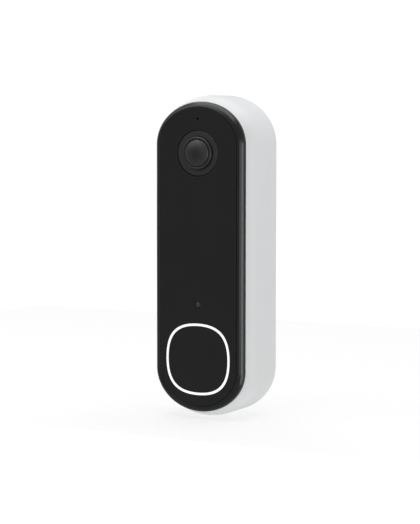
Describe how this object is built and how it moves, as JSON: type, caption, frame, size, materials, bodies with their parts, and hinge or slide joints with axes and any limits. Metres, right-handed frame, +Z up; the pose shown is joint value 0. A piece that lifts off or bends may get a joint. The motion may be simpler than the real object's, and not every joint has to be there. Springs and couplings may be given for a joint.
{
  "type": "video doorbell",
  "caption": "Slim rounded battery video doorbell with camera, ringed call button, rear charging port and spring latch, hung on its wall plate.",
  "frame": {"origin": "centre of the wall plate's flat back face, which lies on the wall", "axes": "+Z up, +Y into the wall, so the camera and the call button face -Y; +X to the right as a visitor sees it"},
  "size_m": [0.0458, 0.0288, 0.132],
  "materials": {
    "white_shell": "fine satin moulded texture",
    "white_plate": "matte moulded",
    "black_rim": "polished",
    "dark_window": "polished, lets infrared through",
    "button_black": "polished",
    "black_satin": "satin",
    "black_matte": "matte moulded",
    "optical_glass": "coated, polished",
    "light_guide": "milky diffuser",
    "smoke_guide": "smoky, polished",
    "circuit_board": "solder mask",
    "steel": "plated",
    "brass": "plated",
    "flex_copper": "polyimide film over copper",
    "silicone_grey": "matte silicone",
    "rubber_black": "matte",
    "battery_wrap": "aluminium cell in printed-free film wrap",
    "wire_red": "insulated lead",
    "wire_black": "insulated lead",
    "chip": "moulded package",
    "socket_white": "nylon",
    "led": "moulded package"
  },
  "bodies": {
    "plate": {"wall_plate": "white_plate"},
    "doorbell": {"rear_housing": "white_shell", "front_bezel": "black_rim", "perimeter_seal": "rubber_black", "front_panel": "dark_window", "light_ring": "light_guide", "call_switch_body": "steel", "main_board": "circuit_board", "processor_shield": "steel", "radio_shield": "steel", "battery_socket": "socket_white", "ring_led_1": "led", "ring_led_2": "led", "ring_led_3": "led", "ring_led_4": "led", "status_light_pipe": "smoke_guide", "status_led": "led", "lens_trim_ring": "black_satin", "lens_barrel": "black_satin", "lens_front_glass": "optical_glass", "lens_rear_glass": "optical_glass", "lens_mount": "black_matte", "image_sensor": "chip", "camera_board": "circuit_board", "sensor_board": "circuit_board", "ir_led_left": "smoke_guide", "ir_led_right": "smoke_guide", "microphone": "steel", "microphone_boot": "rubber_black", "light_sensor": "chip", "camera_flex": "flex_copper", "wifi_antenna": "flex_copper", "battery_pack": "battery_wrap", "battery_lead_positive": "wire_red", "battery_lead_negative": "wire_black", "inner_frame": "black_matte", "power_board": "circuit_board", "usb_receptacle": "steel", "usb_tongue": "black_matte", "terminal_plate_left": "brass", "terminal_screw_left": "brass", "terminal_plate_right": "brass", "terminal_screw_right": "brass", "sync_switch_body": "steel", "speaker_frame": "black_matte", "speaker_cone": "rubber_black", "speaker_magnet": "steel", "case_screw_1": "steel", "case_screw_2": "steel", "case_screw_3": "steel", "case_screw_4": "steel"},
    "call_button": {"button_cap": "button_black", "button_membrane": "silicone_grey"},
    "call_plunger": {"call_switch_plunger": "black_matte"},
    "sync_cap": {"sync_button": "silicone_grey"},
    "sync_plunger": {"sync_switch_plunger": "black_matte"},
    "port_cover": {"usb_port_cover": "silicone_grey"},
    "latch": {"release_latch": "black_matte", "latch_spring": "steel"}
  },
  "joints": [
    {"name": "tip_off_plate", "type": "hinge", "parent": "plate", "child": "doorbell", "pos_m": [0, -0.0043, 0.0581], "axis": [-1, 0, 0], "range_deg": [0, 7.5], "deforming": ["release_latch"]},
    {"name": "call_button_press", "type": "slide", "parent": "doorbell", "child": "call_button", "axis": [0, 1, 0], "range_m": [0, 0.0004], "stiffness_N_per_m": 300, "springref_m": -0.002},
    {"name": "call_plunger_press", "type": "slide", "parent": "doorbell", "child": "call_plunger", "axis": [0, 1, 0], "range_m": [0, 0.0004]},
    {"name": "sync_button_press", "type": "slide", "parent": "doorbell", "child": "sync_cap", "axis": [0, -1, 0], "range_m": [0, 0.0004], "stiffness_N_per_m": 200, "springref_m": -0.002},
    {"name": "sync_plunger_press", "type": "slide", "parent": "doorbell", "child": "sync_plunger", "axis": [0, -1, 0], "range_m": [0, 0.0004]},
    {"name": "port_cover_open", "type": "hinge", "parent": "doorbell", "child": "port_cover", "pos_m": [-0.0127, -0.0038, -0.008], "axis": [0, 0, 1], "range_deg": [0, 90]},
    {"name": "latch_release", "type": "slide", "parent": "doorbell", "child": "latch", "axis": [0, 0, 1], "range_m": [0, 0.002], "stiffness_N_per_m": 150, "springref_m": -0.003, "deforming": ["latch_spring"]}
  ],
  "couplings": [
    {"joint": "call_plunger_press", "follows": "call_button_press", "ratio": 1},
    {"joint": "sync_plunger_press", "follows": "sync_button_press", "ratio": 1}
  ]
}
